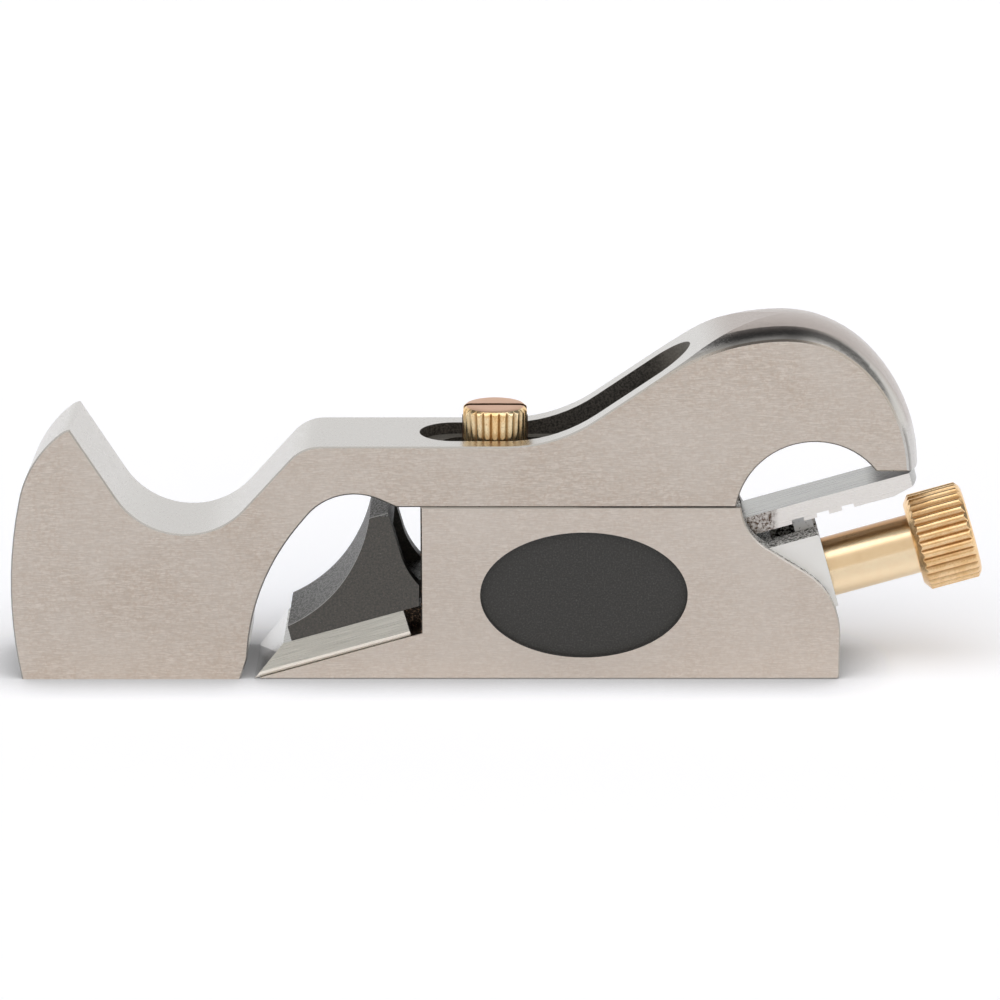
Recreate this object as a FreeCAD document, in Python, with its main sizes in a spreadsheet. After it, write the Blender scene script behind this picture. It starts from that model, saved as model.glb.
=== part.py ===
import FreeCAD, Part
import math
import os
import Sketcher

# A metal shoulder plane: a lower body with the bed, an upper body that carries the toe, the
# finger valley and the palm rest, an iron set at a low angle, and the screws that hold and feed it.
# Stations are measured along the sole from the toe end, heights from the sole, in millimetres.
# Y is 0 in the middle of the plane. What lies on the bed is measured along the bed from the
# cutting edge, and square to it from the underside of the iron.

SIZES = {
    "sole_length": 140.0,
    "plane_width": 19.0,
    "run_gap": 0.05,
    "parting_height": 30.75,
    "bed_angle": 16.0,
    "edge_station": 39.9,
    "edge_height": 0.05,
    "mouth_opening": 2.4,
    "iron_thickness": 4.8,
    "iron_length": 118.3,
    "iron_shoulder": 28.0,
    "bevel_length": 6.6,
    "edge_land": 0.06,
    "tang_width": 10.0,
    "tang_thickness": 3.3,
    "tang_end_bulge": 1.2,
    "notch_first": 96.8,
    "notch_pitch": 4.4,
    "notch_width": 2.1,
    "notch_depth": 0.7,
    "notch_count": 3,
    "channel_width": 11.0,
    "channel_drop": 2.1,
    "cheek_front": 68.5,
    "cheek_rear": 122.8,
    "bridge_rear": 86.3,
    "bridge_clearance": 1.2,
    "guide_depth": 2.05,
    "guide_gap": 0.1,
    "guide_front": 71.2,
    "guide_rear": 118.0,
    "panel_station": 96.3,
    "panel_height": 15.1,
    "panel_length": 35.4,
    "panel_width": 22.4,
    "panel_depth": 0.8,
    "pin_near_wall": 1.2,
    "boss_width": 16.0,
    "boss_rear": 99.6,
    "feed_drop": 10.7,
    "feed_thread": 5.0,
    "feed_thread_front": 72.0,
    "barrel_diameter": 10.3,
    "barrel_bore_start": 87.5,
    "barrel_rear": 114.8,
    "knob_diameter": 16.9,
    "knob_length": 10.2,
    "knob_chamfer": 0.9,
    "collar_diameter": 8.0,
    "collar_length": 1.85,
    "neck_diameter": 6.0,
    "spigot_diameter": 4.0,
    "spigot_length": 13.0,
    "dog_thickness": 3.3,
    "dog_width": 6.0,
    "dog_slot_start": 91.5,
    "cap_nose": 8.1,
    "cap_arch_gap": 1.08,
    "cap_neck_width": 10.4,
    "cap_neck_height": 3.15,
    "cap_wall": 2.8,
    "cap_tail_end": 73.0,
    "cap_tail_height": 3.6,
    "cap_pin_station": 54.0,
    "cap_pin_diameter": 3.0,
    "cap_saddle_depth": 0.6,
    "cap_screw_station": 68.0,
    "cap_screw_thread": 5.0,
    "cap_screw_head": 7.0,
    "cap_screw_head_height": 2.2,
    "cap_screw_tip_gap": 0.45,
    "lock_station": 81.15,
    "lock_thread": 6.0,
    "lock_tip_height": 22.2,
    "lock_hole_floor": 10.8,
    "lock_head_diameter": 11.2,
    "lock_top_height": 46.3,
    "lock_head_chamfer": 0.8,
    "driver_slot": 1.2,
    "top_height": 41.4,
    "horn_station": 9.5,
    "horn_height": 44.35,
    "valley_radius": 13.6,
    "hump_height": 62.25,
    "hump_station": 130.0,
    "hump_front_radius": 26.2,
    "hump_top_radius": 21.1,
    "hump_rear_radius": 28.5,
    "crown_height": 2.3,
    "crown_middle_radius": 30.0,
    "crown_edge_start": 6.24,
    "arris": 0.25,
    "iron_arris": 0.5,
    "crown_front_radius": 37.7,
    "heel_height": 37.1,
    "palm_arch_station": 135.1,
    "palm_arch_height": 29.0,
    "palm_arch_radius": 13.2,
    "recess_front": 68.3,
    "recess_rear": 114.2,
    "recess_width": 11.8,
    "recess_floor": 39.4,
    "slot_front": 71.9,
    "slot_rear": 110.0,
    "slot_width": 7.4,
}

doc = FreeCAD.newDocument("shoulder_plane")
sheet = doc.addObject("Spreadsheet::Sheet", "dims")
for row, (alias, number) in enumerate(SIZES.items(), start=1):
    sheet.set("A%d" % row, alias)
    sheet.set("B%d" % row, str(number))
    sheet.setAlias("B%d" % row, alias)
doc.recompute()


def mm(alias):
    return float(getattr(sheet, alias))


bed_angle = math.radians(mm("bed_angle"))


def on_bed(along, above):
    """Station and height of a point given along and square to the bed."""
    station = mm("edge_station") + along * math.cos(bed_angle) - above * math.sin(bed_angle)
    height = mm("edge_height") + along * math.sin(bed_angle) + above * math.cos(bed_angle)
    return (station, height)


def along_bed(station, above):
    """How far along the bed a station is reached at a given distance above it."""
    return (station - mm("edge_station") + above * math.sin(bed_angle)) / math.cos(bed_angle)


def rounded(corners):
    """Closed outline through corners (x, y, radius), each rounded by a tangent arc."""
    ends = []
    for i, corner in enumerate(corners):
        here = FreeCAD.Vector(corner[0], corner[1], 0)
        before = FreeCAD.Vector(corners[i - 1][0], corners[i - 1][1], 0)
        after_corner = corners[(i + 1) % len(corners)]
        after = FreeCAD.Vector(after_corner[0], after_corner[1], 0)
        radius = corner[2] if len(corner) > 2 else 0
        if radius == 0:
            ends.append((here, None, here))
            continue
        back = (before - here).normalize()
        ahead = (after - here).normalize()
        half = back.getAngle(ahead) / 2
        start = here + back * (radius / math.tan(half))
        end = here + ahead * (radius / math.tan(half))
        inward = (back + ahead).normalize()
        middle = here + inward * (radius / math.sin(half) - radius)
        ends.append((start, middle, end))
    edges = []
    for i, (start, middle, end) in enumerate(ends):
        if middle is not None:
            edges.append(Part.Arc(start, middle, end))
        following = ends[(i + 1) % len(ends)][0]
        if end.distanceToPoint(following) > 1e-6:
            edges.append(Part.LineSegment(end, following))
    return edges


def arc_through(start, middle, end):
    return Part.Arc(FreeCAD.Vector(*start, 0), FreeCAD.Vector(*middle, 0), FreeCAD.Vector(*end, 0))


def line(start, end):
    return Part.LineSegment(FreeCAD.Vector(*start, 0), FreeCAD.Vector(*end, 0))


def box_outline(low_x, low_y, high_x, high_y):
    return rounded([(low_x, low_y), (high_x, low_y), (high_x, high_y), (low_x, high_y)])


def slot_outline(low_x, high_x, width):
    """A slot with round ends along X, centred on Y 0."""
    half = width / 2
    return [
        line((low_x + half, -half), (high_x - half, -half)),
        arc_through((high_x - half, -half), (high_x, 0), (high_x - half, half)),
        line((high_x - half, half), (low_x + half, half)),
        arc_through((low_x + half, half), (low_x, 0), (low_x + half, -half)),
    ]


def new_body(label):
    body = doc.addObject("PartDesign::Body", label)
    body.Label = label
    return body


def place_along_sole(body, station="0"):
    """Put a body's own origin at a station on the sole; the middle of the sole is at X 0."""
    body.setExpression("Placement.Base.x", "%s - dims.sole_length / 2" % station)


def place_on_bed(body, along="0", above="0"):
    """Turn a body to the bed and put its own origin at a point given along and above the bed."""
    body.Placement = FreeCAD.Placement(
        FreeCAD.Vector(), FreeCAD.Rotation(FreeCAD.Vector(0, -1, 0), mm("bed_angle")))
    turn = "(dims.bed_angle * 1 deg)"
    body.setExpression("Placement.Base.x", "dims.edge_station - dims.sole_length / 2 + (%s) * cos%s"
                       " - (%s) * sin%s" % (along, turn, above, turn))
    body.setExpression("Placement.Base.z", "dims.edge_height + (%s) * sin%s + (%s) * cos%s"
                       % (along, turn, above, turn))
    body.setExpression("Placement.Rotation.Angle", "dims.bed_angle * 1 deg")


def plane_of(body, role):
    for feature in body.Origin.OriginFeatures:
        if feature.Role == role:
            return feature
    raise ValueError("no origin plane " + role)


def new_sketch(body, name, outlines, role="XZ_Plane", offset="0", on_bed_frame=False):
    """Sketch on one of the body's own origin planes, moved along its normal by offset."""
    sketch = body.newObject("Sketcher::SketchObject", body.Name + "_" + name)
    sketch.AttachmentSupport = [(plane_of(body, role), "")]
    sketch.MapMode = "FlatFace"
    sketch.setExpression("AttachmentOffset.Base.z", offset)
    if on_bed_frame:
        sketch.AttachmentOffset = FreeCAD.Placement(
            FreeCAD.Vector(), FreeCAD.Rotation(FreeCAD.Vector(0, 0, 1), mm("bed_angle")))
        sketch.setExpression("AttachmentOffset.Base.x", "dims.edge_station")
        sketch.setExpression("AttachmentOffset.Base.y", "dims.edge_height")
        sketch.setExpression("AttachmentOffset.Rotation.Angle", "dims.bed_angle * 1 deg")
    for outline in outlines:
        first = sketch.GeometryCount
        for edge in outline:
            sketch.addGeometry(edge, False)
        last = sketch.GeometryCount
        if last - first > 1:
            join_ends(sketch, range(first, last))
    return sketch


def join_ends(sketch, members):
    """Make each edge of an outline meet the next one."""
    members = list(members)
    for here, following in zip(members, members[1:] + members[:1]):
        pairs = [(a, b) for a in (1, 2) for b in (1, 2)]
        gaps = [(sketch.getPoint(here, a) - sketch.getPoint(following, b)).Length for a, b in pairs]
        near = pairs[gaps.index(min(gaps))]
        sketch.addConstraint(Sketcher.Constraint("Coincident", here, near[0], following, near[1]))


def circle_sketch(body, name, centre, diameter, role, offset="0", on_bed_frame=False):
    circle = Part.Circle(FreeCAD.Vector(*centre, 0), FreeCAD.Vector(0, 0, 1), 1.0)
    sketch = new_sketch(body, name, [[circle]], role, offset, on_bed_frame)
    index = sketch.addConstraint(Sketcher.Constraint("Diameter", 0, 2.0))
    sketch.renameConstraint(index, "bore")
    sketch.setExpression("Constraints.bore", diameter)
    return sketch


def pad(body, name, sketch, length, symmetric=True, reverse=False):
    feature = body.newObject("PartDesign::Pad", body.Name + "_" + name)
    feature.Profile = sketch
    feature.SideType = "Symmetric" if symmetric else "One side"
    feature.Reversed = reverse
    feature.setExpression("Length", length)
    finish_feature(body, feature)
    return feature


def pocket(body, name, sketch, length=None, symmetric=True, reverse=False):
    """Cut a sketch through its body, and make sure that it really removed metal."""
    before = body.Shape.Volume
    feature = body.newObject("PartDesign::Pocket", body.Name + "_" + name)
    feature.Profile = sketch
    feature.SideType = "Symmetric" if symmetric else "One side"
    feature.Reversed = reverse
    if length is None:
        feature.Type = "ThroughAll"
    else:
        feature.setExpression("Length", length)
    finish_feature(body, feature)
    if body.Shape.Volume > before - 1e-3:
        raise ValueError(feature.Name + " cut nothing")
    return feature


def turned(body, name, corners, about="H_Axis"):
    """Solid of revolution from a half outline in the body's XZ plane."""
    sketch = new_sketch(body, name + "_outline", [rounded(corners)])
    feature = body.newObject("PartDesign::Revolution", body.Name + "_" + name)
    feature.Profile = sketch
    feature.ReferenceAxis = (sketch, [about])
    feature.Angle = 360
    finish_feature(body, feature)
    return feature


def bored(body, name, corners, on_bed_frame=False):
    """Groove turned about the bed direction through the middle of a sketch on the bed."""
    before = body.Shape.Volume
    sketch = new_sketch(body, name + "_outline", [rounded(corners)], on_bed_frame=on_bed_frame)
    sketch.addGeometry(line((0, -mm("feed_drop")), (10, -mm("feed_drop"))), True)
    feature = body.newObject("PartDesign::Groove", body.Name + "_" + name)
    feature.Profile = sketch
    feature.ReferenceAxis = (sketch, ["Axis0"])
    feature.Angle = 360
    finish_feature(body, feature)
    if body.Shape.Volume > before - 1e-3:
        raise ValueError(feature.Name + " cut nothing")
    return feature


def chamfer(body, size, wanted):
    """Chamfer each edge of a body that the test function picks by its box."""
    before = body.Tip
    names = ["Edge%d" % number for number, edge in enumerate(body.Shape.Edges, start=1) if wanted(edge)]
    feature = body.newObject("PartDesign::Chamfer", body.Name + "_arris")
    feature.Base = (before, names)
    feature.setExpression("Size", size)
    finish_feature(body, feature)
    return feature


def side_arris(edge):
    """A plain edge of a ground side face, longer than a corner's and clear of the sole."""
    box = edge.BoundBox
    flat = box.YLength < 1e-6 and abs(abs(box.YMin) - mm("plane_width") / 2) < 1e-6
    plain = edge.Curve.TypeId in ("Part::GeomLine", "Part::GeomCircle")
    return flat and plain and edge.Length > 1.2 and box.ZMax > mm("bevel_length")


def finish_feature(body, feature):
    body.Tip = feature
    doc.recompute()


def polar(centre, radius, degrees):
    angle = math.radians(degrees)
    return (centre[0] + radius * math.cos(angle), centre[1] + radius * math.sin(angle))


# Lower body: a wedge under the iron, two cheeks with a channel between them for the tang and
# the lever cap, a bridge that takes the lock screw, and a boss at the back for the feed screw.

lower_body = new_body("lower_body")
place_along_sole(lower_body)

slide_floor = -mm("run_gap")
wedge_nose = on_bed(1.0, slide_floor)
bed_foot = on_bed(along_bed(mm("cheek_front"), slide_floor), slide_floor)
heel = mm("sole_length")
side_corners = [
    (wedge_nose[0], 0),
    wedge_nose,
    bed_foot,
    (mm("cheek_front"), mm("parting_height")),
    (mm("cheek_rear"), mm("parting_height")),
    (mm("cheek_rear") + 1.1, 25.6, 9.4),
    (heel + 0.2, 15.2, 13.4),
    (heel + 0.2, 0, 0.6),
]
side = new_sketch(lower_body, "side", [rounded(side_corners)])
pad(lower_body, "cheeks", side, "dims.plane_width")


def cheek_arris(edge):
    """A side arris of the cheeks, not of the wedge that the iron lies on."""
    return side_arris(edge) and edge.BoundBox.XMin > mm("cheek_front") - heel / 2 - 1e-3


chamfer(lower_body, "dims.arris", cheek_arris)

boss_top = -mm("channel_drop")
boss_corners = [
    (mm("boss_rear") - 18.0, boss_top),
    (mm("boss_rear"), boss_top, 0.5),
    (mm("boss_rear"), boss_top - 13.2),
    (mm("boss_rear") - 18.0, boss_top - 13.2),
]
boss = new_sketch(lower_body, "boss", [rounded(boss_corners)], on_bed_frame=True)
pad(lower_body, "boss", boss, "dims.boss_width")

neck_top = mm("iron_thickness") + mm("run_gap") + mm("cap_neck_height")
bridge_ceiling = neck_top + mm("bridge_clearance")
front_of_channel = along_bed(mm("cheek_front"), slide_floor) - 3.0
open_top = mm("parting_height") + 5.0
channel_corners = [
    on_bed(front_of_channel, slide_floor),
    on_bed(front_of_channel + 7.0, slide_floor),
    on_bed(front_of_channel + 7.0, boss_top),
    on_bed(72.0, boss_top),
    on_bed(72.0, slide_floor),
    on_bed(80.0, slide_floor),
    on_bed(80.0, boss_top),
    on_bed(110.0, boss_top),
    on_bed(110.0, 20.0),
    (mm("bridge_rear"), open_top),
    on_bed(along_bed(mm("bridge_rear"), bridge_ceiling), bridge_ceiling),
    on_bed(front_of_channel, bridge_ceiling),
]
channel = new_sketch(lower_body, "channel", [rounded(channel_corners)])
pocket(lower_body, "channel", channel, "dims.channel_width")

guide_floor = mm("parting_height") - mm("guide_depth")
guide = new_sketch(lower_body, "guide", [box_outline(60.0, guide_floor, 130.0, open_top)])
pocket(lower_body, "guide_groove", guide, "dims.channel_width")

lock_hole = circle_sketch(lower_body, "lock_hole", (mm("lock_station"), 0),
                          "dims.lock_thread + 2 * dims.run_gap", "XY_Plane", "dims.parting_height")
pocket(lower_body, "lock_thread", lock_hole, "dims.parting_height - dims.lock_hole_floor",
       symmetric=False)

pin_above = neck_top - mm("cap_saddle_depth") + mm("cap_pin_diameter") / 2
pin_place = on_bed(mm("cap_pin_station"), pin_above)
far_panel = "-(dims.plane_width / 2 - dims.panel_depth)"
pin_length = "dims.plane_width - 2 * dims.panel_depth - dims.pin_near_wall"
pin_hole = circle_sketch(lower_body, "pin_hole", pin_place, "dims.cap_pin_diameter", "XZ_Plane",
                         far_panel)
pocket(lower_body, "pin_hole", pin_hole, pin_length, symmetric=False, reverse=True)

for side_name, direction in (("near", 1), ("far", -1)):
    ellipse = Part.Ellipse(FreeCAD.Vector(mm("panel_station"), mm("panel_height"), 0),
                           mm("panel_length") / 2, mm("panel_width") / 2)
    panel = new_sketch(lower_body, side_name + "_panel", [[ellipse]],
                       offset="%d * (dims.plane_width / 2 - dims.panel_depth)" % direction)
    pocket(lower_body, side_name + "_panel", panel, "dims.panel_depth * 2",
           symmetric=False, reverse=direction > 0)

bore_radius = mm("barrel_diameter") / 2 + 2 * mm("run_gap")
thread_radius = mm("feed_thread") / 2 + mm("run_gap")
feed_axis = -mm("feed_drop")
bored(lower_body, "feed_bore", [
    (mm("feed_thread_front") - 5.0, feed_axis),
    (mm("boss_rear") + 5.0, feed_axis),
    (mm("boss_rear") + 5.0, feed_axis + bore_radius),
    (mm("barrel_bore_start"), feed_axis + bore_radius),
    (mm("barrel_bore_start"), feed_axis + thread_radius),
    (mm("feed_thread_front") - 5.0, feed_axis + thread_radius),
], on_bed_frame=True)

dog_slot = new_sketch(lower_body, "dog_slot", [box_outline(
    mm("dog_slot_start"), feed_axis, mm("boss_rear") + 2.0, 0.0)], on_bed_frame=True)
pocket(lower_body, "dog_slot", dog_slot, "dims.dog_width + 4 * dims.run_gap")

# Pin across the channel, pressed in from the far side, blind on the near one: the lever cap
# hooks under it.

lever_cap_pin = new_body("lever_cap_pin")
place_on_bed(lever_cap_pin, "dims.cap_pin_station",
             "dims.iron_thickness + dims.run_gap + dims.cap_neck_height - dims.cap_saddle_depth"
             " + dims.cap_pin_diameter / 2")
pin_round = circle_sketch(lever_cap_pin, "round", (0, 0), "dims.cap_pin_diameter", "XZ_Plane",
                          far_panel)
pad(lever_cap_pin, "rod", pin_round, pin_length, symmetric=False)

# Upper body: toe, finger valley and palm rest in one casting, which slides on the lower body
# to set the mouth. Its palm rest is crowned, and the crown runs out along the slope.

upper_body = new_body("upper_body")
place_along_sole(upper_body)

slope_angle = 34.4
slope_rise = math.tan(math.radians(slope_angle))
hump = (mm("hump_station"), mm("hump_height"))
front_centre = (hump[0], hump[1] - mm("hump_front_radius"))
top_centre = (hump[0], hump[1] - mm("hump_top_radius"))
shoulder = polar(top_centre, mm("hump_top_radius"), 45)
rear_centre = polar(shoulder, mm("hump_rear_radius"), 225)
slope_top = polar(front_centre, mm("hump_front_radius"), 90 + slope_angle)
slope_foot_x = slope_top[0] - (slope_top[1] - mm("top_height")) / slope_rise
heel_angle = math.degrees(math.asin((mm("heel_height") - rear_centre[1]) / mm("hump_rear_radius")))
heel_point = polar(rear_centre, mm("hump_rear_radius"), heel_angle)

arch = (mm("palm_arch_station"), mm("palm_arch_height"))
arch_front_x = arch[0] - math.sqrt(mm("palm_arch_radius") ** 2
                                   - (mm("parting_height") - arch[1]) ** 2)
arch_rear_x = arch[0] + math.sqrt(mm("palm_arch_radius") ** 2
                                  - (mm("heel_height") - arch[1]) ** 2)
toe_corner = mm("edge_station") - mm("mouth_opening")
horn = (mm("horn_station"), mm("horn_height"))

valley_and_top = rounded([
    horn,
    (26.6, 17.1, mm("valley_radius")),
    (48.6, mm("top_height"), 7.0),
    (slope_foot_x, mm("top_height"), 27.0),
    slope_top,
])[:-1]
front_arch = rounded([
    (64.4, mm("parting_height")),
    (54.4, 35.4, 10.4),
    (39.9, 17.8, 40.0),
    (toe_corner + 1.2, 3.6, 4.0),
    (toe_corner, 0),
])[:-1]
palm_rest = [
    arc_through(slope_top, polar(front_centre, mm("hump_front_radius"), 90 + slope_angle / 2), hump),
    arc_through(hump, polar(top_centre, mm("hump_top_radius"), 67.5), shoulder),
    arc_through(shoulder, polar(rear_centre, mm("hump_rear_radius"), (45 + heel_angle) / 2),
                heel_point),
    line(heel_point, (arch_rear_x, mm("heel_height"))),
    arc_through((arch_rear_x, mm("heel_height")), (arch[0], arch[1] + mm("palm_arch_radius")),
                (arch_front_x, mm("parting_height"))),
    line((arch_front_x, mm("parting_height")), (64.4, mm("parting_height"))),
]
toe_front = [
    line((toe_corner, 0), (0, 0)),
    arc_through((0, 0), (-1.35, 17.0), (0.45, 31.5)),
    arc_through((0.45, 31.5), (3.3, 38.6), (horn[0] - 1.3, horn[1] - 0.5)),
    arc_through((horn[0] - 1.3, horn[1] - 0.5), (horn[0] - 0.6, horn[1] - 0.15), horn),
]
outline = valley_and_top + palm_rest + front_arch + toe_front
profile = new_sketch(upper_body, "profile", [outline])
pad(upper_body, "casting", profile, "dims.plane_width")

tongue = new_sketch(upper_body, "tongue", [box_outline(
    mm("guide_front"), guide_floor + mm("guide_gap"), mm("guide_rear"),
    mm("parting_height") + 1.0)])
pad(upper_body, "tongue", tongue, "dims.channel_width - 2 * dims.guide_gap")

recess = new_sketch(upper_body, "recess", [slot_outline(
    mm("recess_front"), mm("recess_rear"), mm("recess_width"))], "XY_Plane", "dims.recess_floor")
pocket(upper_body, "recess", recess, symmetric=False, reverse=True)
slot = new_sketch(upper_body, "slot", [slot_outline(
    mm("slot_front"), mm("slot_rear"), mm("slot_width"))], "XY_Plane")
pocket(upper_body, "slot", slot, symmetric=False, reverse=True)

# The crown is a round-topped section swept over the palm rest; ahead of the hump its path
# leaves the surface, so the rounding fades into the flat lands beside the recess.
crown_start_height = rear_centre[1]
crown_apex_x = rear_centre[0] + mm("hump_rear_radius")
crown_half = mm("plane_width") / 2
middle_radius = mm("crown_middle_radius")
edge_start = mm("crown_edge_start")
edge_tilt = math.degrees(math.asin(edge_start / middle_radius))
edge_drop = middle_radius * (1 - math.cos(math.radians(edge_tilt)))
crown_front_centre = (hump[0], hump[1] - mm("crown_front_radius"))
run_out_angle = slope_angle - 2.0
crown_run_out = polar(crown_front_centre, mm("crown_front_radius"), 90 + run_out_angle)
run_out_length = 13.5
crown_end = (crown_run_out[0] - run_out_length,
             crown_run_out[1] - run_out_length * math.tan(math.radians(run_out_angle)))
# Each edge of the section is a tighter arc that meets the middle one smoothly.
start_tilt = math.radians(edge_tilt)
chord_y = crown_half - edge_start
chord_x = mm("crown_height") - edge_drop
edge_radius = (chord_x ** 2 + chord_y ** 2) / (
    2 * (chord_x * math.cos(start_tilt) - chord_y * math.sin(start_tilt)))
edge_centre_x = crown_apex_x - edge_drop - edge_radius * math.cos(start_tilt)
edge_centre_y = edge_start - edge_radius * math.sin(start_tilt)
outer_tilt = math.degrees(math.asin((crown_half - edge_centre_y) / edge_radius)) + 12.0


def on_crown_edge(tilt, side):
    """Point on the tighter arc where it is tilted by an angle, on the near or the far side."""
    x, y = polar((edge_centre_x, edge_centre_y), edge_radius, tilt)
    return (x, side * y)


outer = on_crown_edge(outer_tilt, 1)
beyond = crown_apex_x + 7.0
crown_section = [
    arc_through((crown_apex_x - edge_drop, -edge_start), (crown_apex_x, 0),
                (crown_apex_x - edge_drop, edge_start)),
    arc_through((crown_apex_x - edge_drop, edge_start),
                on_crown_edge((edge_tilt + outer_tilt) / 2, 1), outer),
    line(outer, (beyond, outer[1])),
    line((beyond, outer[1]), (beyond, -outer[1])),
    line((beyond, -outer[1]), (outer[0], -outer[1])),
    arc_through((outer[0], -outer[1]), on_crown_edge((edge_tilt + outer_tilt) / 2, -1),
                (crown_apex_x - edge_drop, -edge_start)),
]
section = new_sketch(upper_body, "crown_section", [crown_section], "XY_Plane",
                     str(crown_start_height))
path = new_sketch(upper_body, "crown_path", [])
for edge in (
    arc_through((crown_apex_x, crown_start_height),
                polar(rear_centre, mm("hump_rear_radius"), 22.5), shoulder),
    arc_through(shoulder, polar(top_centre, mm("hump_top_radius"), 67.5), hump),
    arc_through(hump, polar(crown_front_centre, mm("crown_front_radius"), 90 + run_out_angle / 2),
                crown_run_out),
    line(crown_run_out, crown_end),
):
    path.addGeometry(edge, False)
before_crown = upper_body.Shape.Volume
crown = upper_body.newObject("PartDesign::SubtractivePipe", "upper_body_crown")
crown.Profile = section
crown.Spine = path
finish_feature(upper_body, crown)
if upper_body.Shape.Volume > before_crown - 1:
    raise ValueError("the crown cut nothing")

chamfer(upper_body, "dims.arris", side_arris)

# Iron: a full-width cutting end and a narrow tang, thinner on top and notched below.

blade = new_body("blade")
place_on_bed(blade)
half_width = mm("plane_width") / 2
half_tang = mm("tang_width") / 2
shoulder_u = mm("iron_shoulder")
tang_tip = mm("iron_length")
tang_corner = tang_tip - mm("tang_end_bulge")
plan = [
    line((0, -half_width), (shoulder_u, -half_width)),
    line((shoulder_u, -half_width), (shoulder_u, -half_tang)),
    line((shoulder_u, -half_tang), (tang_corner, -half_tang)),
    arc_through((tang_corner, -half_tang), (tang_tip, 0), (tang_corner, half_tang)),
    line((tang_corner, half_tang), (shoulder_u, half_tang)),
    line((shoulder_u, half_tang), (shoulder_u, half_width)),
    line((shoulder_u, half_width), (0, half_width)),
    line((0, half_width), (0, -half_width)),
]
plan_sketch = new_sketch(blade, "plan", [plan], "XY_Plane")
pad(blade, "stock", plan_sketch, "dims.iron_thickness", symmetric=False)
above_iron = mm("iron_thickness") + 2.0
bevel = new_sketch(blade, "bevel", [rounded([
    (-1.0, mm("edge_land")),
    (0.0, mm("edge_land")),
    (mm("bevel_length"), mm("iron_thickness")),
    (mm("bevel_length"), above_iron),
    (-1.0, above_iron),
])])
pocket(blade, "bevel", bevel, "dims.plane_width * 2")
relief = new_sketch(blade, "relief", [rounded([
    (shoulder_u + 0.8, above_iron),
    (shoulder_u + 1.4, mm("tang_thickness"), 0.4),
    (tang_tip + 1.0, mm("tang_thickness")),
    (tang_tip + 1.0, above_iron),
])])
pocket(blade, "relief", relief, "dims.plane_width * 2")
end_cut = new_sketch(blade, "end_cut", [rounded([
    (tang_tip - 4.6, 0.0),
    (tang_tip + 1.0, 1.4),
    (tang_tip + 1.0, -1.0),
    (tang_tip - 4.6, -1.0),
])])
pocket(blade, "end_cut", end_cut, "dims.plane_width * 2")
half_notch = mm("notch_width") / 2
notch = new_sketch(blade, "notch", [box_outline(
    mm("notch_first") - half_notch, -1.0,
    mm("notch_first") + half_notch, mm("notch_depth"))])
notch_cut = pocket(blade, "notch", notch, "dims.plane_width")
before_pattern = blade.Shape.Volume
notches = blade.newObject("PartDesign::LinearPattern", "blade_notches")
notches.Originals = [notch_cut]
notches.Direction = (plane_of(blade, "X_Axis"), [""])
notches.setExpression("Length", "dims.notch_pitch * (dims.notch_count - 1)")
notches.setExpression("Occurrences", "dims.notch_count")
finish_feature(blade, notches)
if blade.Shape.Volume > before_pattern - 1:
    raise ValueError("the notch pattern cut nothing")


def lower_iron_edge(edge):
    """One of the two long edges under the wide end of the iron."""
    box = edge.BoundBox
    on_side = box.YLength < 1e-6 and abs(abs(box.YMin) - half_width) < 1e-6
    return on_side and box.ZMin < mm("edge_height") + 1e-3 and edge.Length > shoulder_u / 2


chamfer(blade, "dims.iron_arris", lower_iron_edge)

# Lever cap: a hollow-backed hood that presses on the iron near its edge, and a narrow tail
# that runs back under the pin to the cap screw.

lever_cap = new_body("lever_cap")
place_on_bed(lever_cap)
cap_floor = mm("iron_thickness") + mm("run_gap")
hood_back = 30.4
arch_over_hood = mm("parting_height") - mm("cap_arch_gap")
hood_top = (arch_over_hood - mm("edge_height") - hood_back * math.sin(bed_angle)) / math.cos(bed_angle)
hood_back_foot = along_bed(mm("cheek_front") - 0.3, cap_floor)
hood_back_flare = along_bed(mm("cheek_front") - 0.3, 8.4)
hood = [
    line((mm("cap_nose"), cap_floor), (hood_back_foot, cap_floor)),
    line((hood_back_foot, cap_floor), (hood_back_flare, 8.4)),
    arc_through((hood_back_flare, 8.4), (30.85, 11.0), (hood_back, 14.0)),
    line((hood_back, 14.0), (hood_back, hood_top)),
    line((hood_back, hood_top), (27.1, hood_top)),
    arc_through((27.1, hood_top), (24.9, 18.2), (22.0, 14.7)),
    arc_through((22.0, 14.7), (15.8, 10.0), (mm("cap_nose") + 0.1, 7.5)),
    line((mm("cap_nose") + 0.1, 7.5), (mm("cap_nose"), cap_floor)),
]
hood_sketch = new_sketch(lever_cap, "hood", [hood])
pad(lever_cap, "hood", hood_sketch, "dims.plane_width")
wall = mm("cap_wall")
hollow = [
    line((18.0, neck_top), (34.0, neck_top)),
    line((34.0, neck_top), (34.0, hood_top - wall)),
    line((34.0, hood_top - wall), (28.4, hood_top - wall)),
    arc_through((28.4, hood_top - wall), (24.6, 13.0), (18.0, neck_top)),
]
hollow_sketch = new_sketch(lever_cap, "hollow", [hollow])
pocket(lever_cap, "hollow", hollow_sketch, "dims.plane_width - 2 * dims.cap_wall")
tail_top = cap_floor + mm("cap_tail_height")
tail_step = mm("cap_pin_station") + 4.5
tail = new_sketch(lever_cap, "tail", [rounded([
    (20.0, cap_floor),
    (mm("cap_tail_end"), cap_floor, 0.8),
    (mm("cap_tail_end"), tail_top, 0.8),
    (tail_step + 1.5, tail_top),
    (tail_step, neck_top, 1.0),
    (20.0, neck_top),
])])
pad(lever_cap, "tail", tail, "dims.cap_neck_width")
saddle = circle_sketch(lever_cap, "saddle", (mm("cap_pin_station"), pin_above),
                       "dims.cap_pin_diameter + 2 * dims.run_gap", "XZ_Plane")
pocket(lever_cap, "saddle", saddle, "dims.plane_width")
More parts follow.
